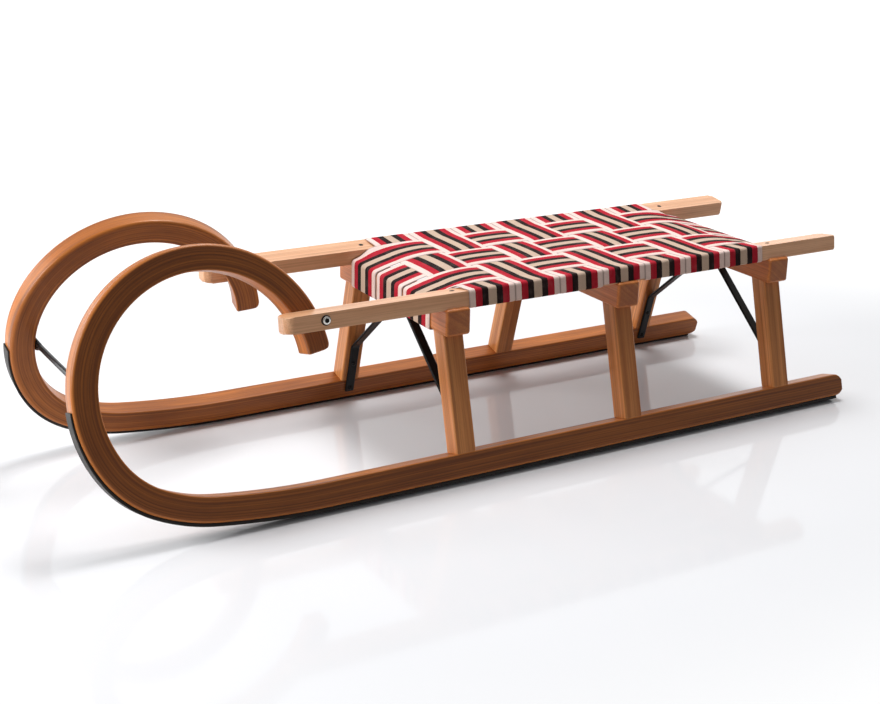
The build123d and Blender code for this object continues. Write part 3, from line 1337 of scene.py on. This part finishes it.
@dataclass
class WovenSeat:
    """Seven straps across and three along, woven one over one under."""

    shop: Workshop
    rails: SeatRails
    trestles: Trestles
    cloth: StripedWebbing
    width: float = 0.0750
    along_width: float = 0.0766
    thickness: float = 0.0016
    rows: int = 7
    row_pitch: float = 0.0756
    columns: int = 3
    column_pitch: float = 0.0800
    centre_x: float = -0.201
    level: float = 0.2636
    flat_half: float = 0.1995  # from the seat's middle to where the weave starts to fall
    dish_from: float = 0.080  # from the middle line to where the weave starts to rise
    lift: float = 0.0014
    droop: float = 0.0007
    gap: float = 0.00015
    under_rail: float = 0.024
    under_bar: float = 0.010
    last_over_rail: float = 0.006  # from a rail's outer edge to where a strap turns down
    last_over_bar: float = 0.008  # the same on a crossbar
    rail_lip: float = 0.002  # how far short of a rail's underside the unfolded strap ends
    crossing_fall: float = 0.030  # over which the weave's dish fades out past the last strap
    carried_from: float = 0.098  # from the middle line, where the rails start to hold the weave up
    carried_to: float = 0.126
    fold_round: float = 0.003  # where a strap folds under a rail or crossbar
    rail_round: float = 0.004  # where it turns down over a rail
    bar_round: float = 0.006  # the same over a crossbar
    stride: float = 0.0026
    longest: float = 0.004
    strap_columns: int = 15

    @property
    def off(self) -> float:
        """From a strap's middle to what it lies on."""
        return self.thickness / 2 + self.gap

    @staticmethod
    def along_on_top(row: int, column: int) -> int:
        """+1 where the strap along the seat passes over the one across, or -1."""
        return 1 if (row + column) % 2 == 0 else -1

    @staticmethod
    def eased(value: float, low: float, high: float) -> float:
        """A smooth 0 to 1 while value goes from low to high."""
        share = min(max((value - low) / (high - low), 0.0), 1.0)
        return share * share * (3 - 2 * share)

    def row_x(self, row: int) -> float:
        """Middle of a strap that runs across the seat."""
        return self.centre_x + (self.rows // 2 - row) * self.row_pitch

    def wave(self, place: float, centres: Sequence[float], pitch: float, tops: Sequence[int]) -> float:
        """Level of a strap at a place along it.

        Args:
            place: Distance along the strap.
            centres: Middles of the straps that it crosses.
            pitch: From one of them to the next.
            tops: +1 where it passes over each, or -1.

        Returns:
            From -1 under to +1 over.
        """
        for centre, top in zip(centres, tops):
            share = abs(place - centre) / (pitch / 2)
            if share <= 1.0:
                return top * (1.0 - share**3)
        return 0.0

    def surface(self, x: float, y: float) -> float:
        """Height of the weave's middle: up to the rails at its sides, down to the end crossbars.

        Args:
            x: Place along the seat.
            y: Place across the seat.

        Returns:
            The height over the floor.
        """
        bars = dict(self.trestles.stance.trestles)
        half = self.trestles.bar_side / 2
        bar_top = self.trestles.bar_bottom + self.trestles.bar_side + self.off
        reach = x - self.centre_x
        edge = bars["front"] + half - self.centre_x if reach > 0 else self.centre_x - bars["rear"] + half
        share = min(max((abs(reach) - self.flat_half) / (edge - self.flat_half), 0.0), 1.0)
        rail_edge = self.rails.point(Side.LEFT, 0.0, 0.0, self.off)
        rise = max(abs(y) - self.dish_from, 0.0) / (rail_edge.y - self.dish_from)
        woven = self.rows * self.row_pitch / 2
        crossed = 1.0 - self.eased(abs(reach), woven, woven + self.crossing_fall)
        carried = self.eased(abs(y), self.carried_from, self.carried_to) * crossed
        dish = (rail_edge.z - self.level) * rise**2 * crossed
        return self.level + dish - (self.level - bar_top) * share**2 * (1.0 - carried)

    def across(self, row: int) -> Blank:
        """One strap from rail to rail.

        Args:
            row: Its number from the front.

        Returns:
            Its mesh.
        """
        x = self.row_x(row)
        centres = [(self.columns // 2 - column) * self.column_pitch for column in range(self.columns)]
        tops = [-self.along_on_top(row, column) for column in range(self.columns)]
        bar_half = self.trestles.bar_side / 2
        over_bar = any(
            place == "middle" and abs(x - bar_x) < self.width / 2 + bar_half
            for place, bar_x in self.trestles.stance.trestles
        )
        depth, off = self.rails.depth, self.off

        def woven(y: float) -> Vector:
            """A point on the strap's middle line between the rails' outer edges."""
            lift = self.lift * self.wave(y, centres, self.column_pitch, tops)
            return Vector((x, y, self.surface(x, y) + lift))

        inner = self.rails.outer_y - self.last_over_rail

        def wing(side: Side) -> list[Vector]:
            """The strap's line round one rail.

            Args:
                side: Which rail.

            Returns:
                Points from under it to the top of its outer edge.
            """
            corners = [self.rails.point(side, x, -off, -depth + self.rail_lip)]
            radii = [self.rail_round]
            if not over_bar:
                corners = [
                    self.rails.point(side, x, self.under_rail, -depth - off),
                    self.rails.point(side, x, -off, -depth - off),
                ]
                radii = [self.fold_round, self.rail_round]
            corners += [self.rails.point(side, x, -off, off), woven(side.value * inner)]
            return rounded(corners, radii)[:-1]

        count = round(2 * inner / self.stride)
        middle = [woven(inner - 2 * inner * step / count) for step in range(count + 1)]
        left, right = wing(Side.LEFT), wing(Side.RIGHT)
        line = spaced(left + middle + right[::-1], self.longest)

        def crown(place: Vector, share: float) -> float:
            """The strap follows the weave's fall across its width, and its edges drop on top.

            Args:
                place: A point on the strap's middle line.
                share: Share of the half width.

            Returns:
                How far the strap lifts there.
            """
            if abs(place.y) > inner:
                return 0.0
            top = self.wave(place.y, centres, self.column_pitch, tops)
            side_x = place.x + share * self.width / 2
            fall = self.surface(side_x, place.y) - self.surface(place.x, place.y)
            return fall - self.droop * share**4 * max(0.0, top)

        return ribbon(line, Vector((1, 0, 0)), self.width, self.thickness, self.strap_columns, crown)

    def along(self, column: int) -> Blank:
        """One strap from the front crossbar to the rear one.

        Args:
            column: Its number from the left.

        Returns:
            Its mesh.
        """
        y = (self.columns // 2 - column) * self.column_pitch
        centres = [self.row_x(row) for row in range(self.rows)]
        tops = [self.along_on_top(row, column) for row in range(self.rows)]
        bars = dict(self.trestles.stance.trestles)
        half, bottom = self.trestles.bar_side / 2, self.trestles.bar_bottom
        top = bottom + self.trestles.bar_side
        off = self.off
        front_edge, rear_edge = bars["front"] + half, bars["rear"] - half

        def woven(x: float) -> Vector:
            """A point on the strap's middle line between the crossbars' outer edges."""
            lift = self.lift * self.wave(x, centres, self.row_pitch, tops)
            return Vector((x, y, self.surface(x, y) + lift))

        def wing(face: float, way: int) -> list[Vector]:
            """The strap's line round a crossbar.

            Args:
                face: X of its outer face.
                way: +1 for the front one, or -1.

            Returns:
                Points from under it to the top of its outer edge.
            """
            corners = [
                Vector((face - way * self.under_bar, y, bottom - off)),
                Vector((face + way * off, y, bottom - off)),
                Vector((face + way * off, y, top + off)),
                woven(face - way * self.last_over_bar),
            ]
            return rounded(corners, (self.fold_round, self.bar_round))[:-1]

        start, end = front_edge - self.last_over_bar, rear_edge + self.last_over_bar
        count = round((start - end) / self.stride)
        middle = [woven(start + (end - start) * step / count) for step in range(count + 1)]
        front, rear = wing(front_edge, 1), wing(rear_edge, -1)
        line = spaced(front + middle + rear[::-1], self.longest)

        def crown(place: Vector, share: float) -> float:
            """The strap follows the weave's rise across its width, and its edges drop on top.

            Args:
                place: A point on the strap's middle line.
                share: Share of the half width.

            Returns:
                How far the strap lifts there.
            """
            if not end <= place.x <= start:
                return 0.0
            level = self.wave(place.x, centres, self.row_pitch, tops)
            side_y = place.y - share * self.along_width / 2
            rise = self.surface(place.x, side_y) - self.surface(place.x, place.y)
            return rise - self.droop * share**4 * max(0.0, level)

        across = Vector((0, -1, 0))
        return ribbon(line, across, self.along_width, self.thickness, self.strap_columns, crown)

    def strap(self, name: str, blank: Blank, node: str) -> None:
        """Deliver a strap as a stretched sheet of its own length.

        Args:
            name: The piece's name.
            blank: Its mesh, with the length stored in its grain.
            node: The frame's node that it stands for.
        """
        seed = 5.0 * sum(ord(letter) for letter in name) / 100
        for place in blank.grain:
            place.x += seed
        piece = self.shop.deliver(name, blank, self.cloth, "striped_webbing", (node,), 70.0)

    def build(self) -> None:
        """Make and dress the ten straps."""
        for row in range(self.rows):
            name = f"seat_strap_across_{row + 1}"
            self.strap(f"webbing_{name}", self.across(row), name)
        for column, label in enumerate(("left", "middle", "right")):
            name = f"seat_strap_along_{label}"
            self.strap(f"webbing_{name}", self.along(column), name)


# ---- Ironwork ---------------------------------------------------------------------------------

Profile = tuple[tuple[float, float], ...]  # radius and height of each ring, from the foot up

# A thin dark ring under a horn bolt's head: a painted shadow round the head.
SHADOW_RING: Profile = ((0.0070, -0.0002), (0.0070, 0.0005), (0.0067, 0.0008), (0.0040, 0.0008))
CAP_HEAD: Profile = (
    (0.0056, 0.0006),
    (0.0057, 0.0022),
    (0.0053, 0.0030),
    (0.0045, 0.0033),
    (0.0031, 0.0033),
    (0.0029, 0.0028),
)
CAP_SOCKET: Profile = ((0.0029, 0.0028), (0.0028, 0.0009))
FLAT_HEAD: Profile = (
    (0.0036, -0.0002),
    (0.0036, 0.0002),
    (0.0030, 0.0005),
    (0.0019, 0.0005),
    (0.0017, 0.00005),
)
ROUND_HEAD: Profile = (
    (0.0038, -0.0004),
    (0.0038, 0.0002),
    (0.0034, 0.0012),
    (0.0024, 0.0019),
    (0.0012, 0.0022),
    (0.0011, 0.0015),
)


@dataclass
class Ironwork:
    """Flat iron braces, the tie rod between the horns, and the screws."""

    shop: Workshop
    stance: Stance
    rails: SeatRails
    trestles: Trestles
    iron: WornMetal
    rod_steel: WornMetal
    zinc: WornMetal
    brace_width: float = 0.015
    brace_thickness: float = 0.004
    brace_foot: float = 0.015
    brace_knee: float = 0.099
    brace_top_half: float = 0.020
    brace_bend: float = 0.014
    rod_radius: float = 0.004
    palm_height: float = 0.018
    palm_thickness: float = 0.003
    palm_width: float = 0.014
    palm_rim: float = 0.001
    palm_squareness: float = 1.6
    palm_worn: float = 0.98  # share of its height that the beaten palm keeps
    # How flat the rod is beaten, by the distance from the palm's inner edge towards the middle.
    neck: tuple[tuple[float, float], ...] = (
        (-0.002, 1.0),
        (0.003, 0.72),
        (0.008, 0.28),
        (0.013, 0.0),
    )
    rod_places: tuple[float, ...] = (0.06, 0.03, 0.0)
    rod_sides: int = 24
    horn_bolt_x: float = 0.2815
    horn_bolt_drop: float = 0.0102  # below the rail's outer top edge
    rail_screw_inwards: float = 0.0186
    rail_screw_offset: float = 0.004  # from the crossbar's middle towards the sled's
    leg_screws: tuple[float, float] = (0.0215, 0.067)  # heights in a brace's feet
    top_screw_y: float = 0.0095

    def face_point(self, side: Side, x: float, height: float, inwards: float) -> Vector:
        """A point off the inner face of runner and leg."""
        return self.stance.point(side, x, -inwards, height)

    def brace(self, x: float) -> Blank:
        """One brace, from leg to leg by way of the crossbar's middle.

        Args:
            x: The trestle's place along the sled.

        Returns:
            Its mesh.
        """
        off = self.brace_thickness / 2
        under = self.trestles.bar_bottom - off
        wings = []
        for side in Side:
            wings.append(
                [
                    self.face_point(side, x, self.brace_foot, off),
                    self.face_point(side, x, self.brace_knee, off),
                    Vector((x, side.value * self.brace_top_half, under)),
                ]
            )
        corners = wings[0] + wings[1][::-1]
        line = spaced(rounded(corners, [self.brace_bend] * 4), 0.02)
        return ribbon(line, Vector((1, 0, 0)), self.brace_width, self.brace_thickness, 7)

    def build(self) -> None:
        """Make and dress the ironwork."""
        for place, x in self.stance.braced():
            node = f"brace_{place}"
            self.shop.deliver(f"iron_{node}", self.brace(x), self.iron, "black_iron", (node,), 40.0)
        self.rod()
        self.horn_bolts()
        self.rail_screws()
        self.brace_screws()

    def rod(self) -> None:
        """The rod with its ends beaten flat against the horns."""
        low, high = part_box("tie_rod")
        splay = self.stance.splay
        palm_z = (low[2] + high[2]) / 2
        reach = self.palm_width * math.cos(splay)
        palm_y = high[1] - reach / 2 - self.palm_height / 2 * math.sin(splay)
        neck = palm_y - reach / 2
        rod_z = palm_z - (self.palm_width / 2 - self.palm_thickness) * math.sin(splay)
        path = [(palm_y + reach / 2, 1.0), (palm_y + reach / 2 - self.palm_rim, 1.0)]
        path += [(neck - distance, share) for distance, share in self.neck]
        path += [(y, 0.0) for y in self.rod_places]
        path += [(-y, share) for y, share in reversed(path[:-1])]
        rings, stored = [], []
        for y, share in path:
            way = math.copysign(1.0, y)
            ring, grain = [], []
            half_x = self.rod_radius * (1 - share) + self.palm_thickness / 2 * share
            half_z = self.rod_radius * (1 - share) + self.palm_height / 2 * share * self.palm_worn
            square = 1 + self.palm_squareness * share
            slope = max(0.0, (abs(y) - palm_y) * math.tan(splay)) if share == 1.0 else 0.0
            middle = rod_z * (1 - share) + (palm_z + slope) * share
            for step in range(self.rod_sides):
                angle = math.tau * step / self.rod_sides
                c, s = math.cos(angle), math.sin(angle)
                dx = half_x * math.copysign(abs(c) ** (1 / square), c)
                dz = half_z * math.copysign(abs(s) ** (1 / square), s)
                lean = -way * math.sin(splay) * dz * share
                ring.append(Vector((high[0] - half_x + dx, y + lean, middle + dz)))
                grain.append(Vector((y, dx, dz)))
            rings.append(ring)
            stored.append(grain)
        blank = skin(rings, stored)
        self.shop.deliver("iron_tie_rod", blank, self.rod_steel, "black_iron", ("tie_rod",), 40.0)

    def horn_bolts(self) -> None:
        """A bright socket screw through each rail into its horn, on a dark ring that is a painted shadow
        round its head, with its socket painted dark for the shade inside it.
        """
        head = lathe(CAP_HEAD, socket=2)
        for side in Side:
            face = self.rails.point(side, self.horn_bolt_x, 0.0, -self.horn_bolt_drop)
            place = standing(face, self.rails.outward(side))
            # Painted shadow and shade: a dark ring under the head, and the socket's walls in dark iron.
            dark = lathe(SHADOW_RING)
            dark.add(lathe(CAP_SOCKET, socket=2))
            name = f"horn_bolt_shadow_ring_{side.label}"
            self.shop.deliver(name, dark.placed(place), self.iron, "black_iron", (), 30.0)
            bright = Blank()
            bright.add(head)
            bright.faces.pop()
            name = f"horn_bolt_{side.label}"
            self.shop.deliver(name, bright.placed(place), self.zinc, "shoe_steel", (), 30.0)

    def rail_screws(self) -> None:
        """Countersunk screws that hold the rails on the front and rear crossbars."""
        blank = Blank()
        for side in Side:
            for place, x in self.stance.braced():
                offset = -self.rail_screw_offset if place == "front" else self.rail_screw_offset
                point = self.rails.point(side, x + offset, self.rail_screw_inwards, 0.0)
                head = lathe(FLAT_HEAD, around=18, socket=1)
                blank.add(head.placed(standing(point, self.rails.upward(side))))
        self.shop.deliver("rail_screws", blank, self.iron, "black_iron", (), 30.0)

    def brace_screws(self) -> None:
        """Round-headed screws through the braces into legs, runners and crossbars."""
        blank = Blank()
        lowest = self.trestles.bar_bottom - self.brace_thickness
        for _, x in self.stance.braced():
            for side in Side:
                inward = -self.stance.outward(side)
                for height in self.leg_screws:
                    point = self.face_point(side, x, height, self.brace_thickness)
                    blank.add(lathe(ROUND_HEAD, around=18, socket=2).placed(standing(point, inward)))
                under = Vector((x, side.value * self.top_screw_y, lowest))
                blank.add(lathe(ROUND_HEAD, around=18, socket=2).placed(standing(under, Vector((0, 0, -1)))))
        self.shop.deliver("brace_screws", blank, self.iron, "black_iron", (), 30.0)


# ---- Studio -----------------------------------------------------------------------------------


@dataclass(frozen=True)
class Softbox:
    """One soft lamp."""

    name: str
    place: tuple[float, float, float]
    aim: tuple[float, float, float]
    size: tuple[float, float]
    watts: float

    def build(self) -> None:
        """Hang the lamp."""
        lamp = bpy.data.lights.new(self.name, "AREA")
        lamp.shape = "RECTANGLE"
        lamp.size, lamp.size_y = self.size
        lamp.energy = self.watts
        holder = bpy.data.objects.new(self.name, lamp)
        holder.location = self.place
        towards = Vector(self.aim) - Vector(self.place)
        holder.rotation_euler = towards.to_track_quat("-Z", "Y").to_euler()
        bpy.context.scene.collection.objects.link(holder)


@dataclass(frozen=True)
class Studio:
    """Camera, pale floor, soft lamps and a white surround."""

    eye: tuple[float, float, float] = (1.1168, 1.8525, 0.8677)
    yaw: float = -0.5363
    pitch: float = 0.3315
    roll: float = 0.0204
    lens: float = 62.21
    shift: float = -0.0022
    sensor_width: float = 36.0
    nearest: float = 0.01
    surround: float = 0.50
    near_side_dark: float = 0.62
    shade_from: float = -0.3
    shade_to: float = 0.7
    floor_size: float = 14.0
    lamps: tuple[Softbox, ...] = (
        Softbox("key_softbox", (-0.5, -0.30, 2.3), (0.0, 0.0, 0.1), (0.9, 0.8), 41.0),
        Softbox("front_softbox", (2.3, -0.3, 1.0), (0.0, 0.0, 0.2), (1.1, 1.0), 42.0),
        Softbox("rim_softbox", (1.5, -2.3, 0.9), (0.2, 0.0, 0.2), (1.2, 0.9), 14.0),
    )

    def camera(self) -> None:
        """Place the camera."""
        level = math.cos(self.pitch)
        ahead = Vector((math.sin(self.yaw) * level, -math.cos(self.yaw) * level, -math.sin(self.pitch)))
        right = ahead.cross(Vector((0, 0, 1))).normalized()
        up = right.cross(ahead)
        c, s = math.cos(self.roll), math.sin(self.roll)
        right, up = right * c + up * s, up * c - right * s
        data = bpy.data.cameras.new("studio_camera")
        data.lens = self.lens
        data.sensor_width = self.sensor_width
        data.shift_y = self.shift
        data.clip_start = self.nearest
        camera = bpy.data.objects.new("studio_camera", data)
        turn = Matrix((right, up, -ahead)).transposed().to_4x4()
        camera.matrix_world = Matrix.Translation(self.eye) @ turn
        bpy.context.scene.collection.objects.link(camera)
        bpy.context.scene.camera = camera

    def floor(self) -> None:
        """Lay the floor."""
        half = self.floor_size / 2
        mesh = bpy.data.meshes.new("studio_floor")
        corners = [(-half, -half, 0), (half, -half, 0), (half, half, 0), (-half, half, 0)]
        mesh.from_pydata(corners, [], [(0, 1, 2, 3)])
        finish = PolishedFloor("pale_floor", paint(230, 231, 234), paint(232, 222, 212), 0.07)
        mesh.materials.append(finish.material())
        floor = bpy.data.objects.new("studio_floor", mesh)
        bpy.context.scene.collection.objects.link(floor)

    def surround_light(self) -> None:
        """A surround that is white where it is seen, and darker on the camera's side for its light."""
        world = bpy.data.worlds.new("studio_surround")
        bpy.context.scene.world = world
        world.use_nodes = True
        graph = Graph(world.node_tree)
        towards = graph.tree.nodes.new("ShaderNodeTexCoord").outputs["Generated"]
        _, side, _ = graph.apart(towards)
        shade = graph.times(graph.fade(side, self.shade_from, self.shade_to), self.near_side_dark)
        level = graph.maths("SUBTRACT", 1.0, shade)
        path = graph.tree.nodes.new("ShaderNodeLightPath")
        straight, glossy = path.outputs["Is Camera Ray"], path.outputs["Is Glossy Ray"]
        through = graph.maths("MAXIMUM", straight, path.outputs["Is Transmission Ray"])
        strength = graph.maths("MAXIMUM", glossy, self.surround)
        strength = graph.maths("MAXIMUM", graph.times(strength, level), through)
        light = graph.tree.nodes.new("ShaderNodeBackground")
        light.inputs["Color"].default_value = WHITE
        graph.feed(light.inputs["Strength"], strength)
        output = graph.tree.nodes.new("ShaderNodeOutputWorld")
        graph.tree.links.new(light.outputs[0], output.inputs["Surface"])

    def build(self) -> None:
        """Set up the studio."""
        self.camera()
        self.floor()
        self.surround_light()
        for lamp in self.lamps:
            lamp.build()
        bpy.context.scene.view_settings.view_transform = "Standard"


# ---- The sled ---------------------------------------------------------------------------------


def main() -> None:
    """Load the frame, build the sled on it and set up the studio."""
    logging.basicConfig(level=logging.INFO, format="%(message)s")
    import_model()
    runner_wood = OiledAsh(
        "oiled_ash_runner", paint(206, 124, 54), paint(152, 86, 38), paint(70, 34, 14),
        ring_lines=420.0, ring_share=0.46, painted_side_shade_share=0.58, shine=0.26,
    )
    leg_wood = OiledAsh(
        "oiled_ash_leg", paint(226, 154, 92), paint(190, 118, 62), paint(114, 64, 30),
        ring_lines=260.0, ring_turn=0.5, ring_share=0.34, painted_side_shade_share=0.30, shine=0.30,
    )
    bar_wood = OiledAsh(
        "oiled_ash_crossbar", paint(222, 138, 72), paint(186, 104, 48), paint(108, 56, 24),
        ring_lines=240.0, ring_turn=0.9, ring_share=0.24, painted_side_shade_share=0.48, shine=0.30,
    )
    rail_wood = OiledAsh(
        "oiled_beech_rail", paint(236, 184, 142), paint(216, 158, 114), paint(150, 94, 58),
        ring_lines=260.0, ring_turn=0.2, ring_share=0.26, gloss=0.32, shine=0.5, painted_side_shade_share=0.16,
    )
    webbing = StripedWebbing(
        "striped_webbing", paint(206, 180, 160), paint(28, 11, 11), paint(184, 28, 48),
        paint(242, 216, 208), paint(92, 74, 70),
    )
    shoe_steel = WornMetal("shoe_steel", paint(24, 22, 21), paint(58, 54, 51), 0.1, 0.48)
    iron = WornMetal("black_iron", paint(9, 9, 10), paint(26, 26, 27), 0.0, 0.42, 420.0, 0.00012)
    rod_steel = WornMetal("dark_rod_steel", paint(38, 40, 42), paint(96, 98, 100), 0.6, 0.28)
    zinc = WornMetal("bright_zinc", paint(200, 198, 194), paint(232, 230, 226), 1.0, 0.24)

    shop = Workshop()
    stance = Stance()
    runner = Runner(stance)
    trestles = Trestles(shop, stance, leg_wood, bar_wood)
    rails = SeatRails(shop, rail_wood)
    Studio().build()
    RunnerPair(shop, runner, runner_wood, shoe_steel).build()
    trestles.build()
    rails.build()
    WovenSeat(shop, rails, trestles, webbing).build()
    Ironwork(shop, stance, rails, trestles, iron, rod_steel, zinc).build()


if __name__ == "__main__":
    main()
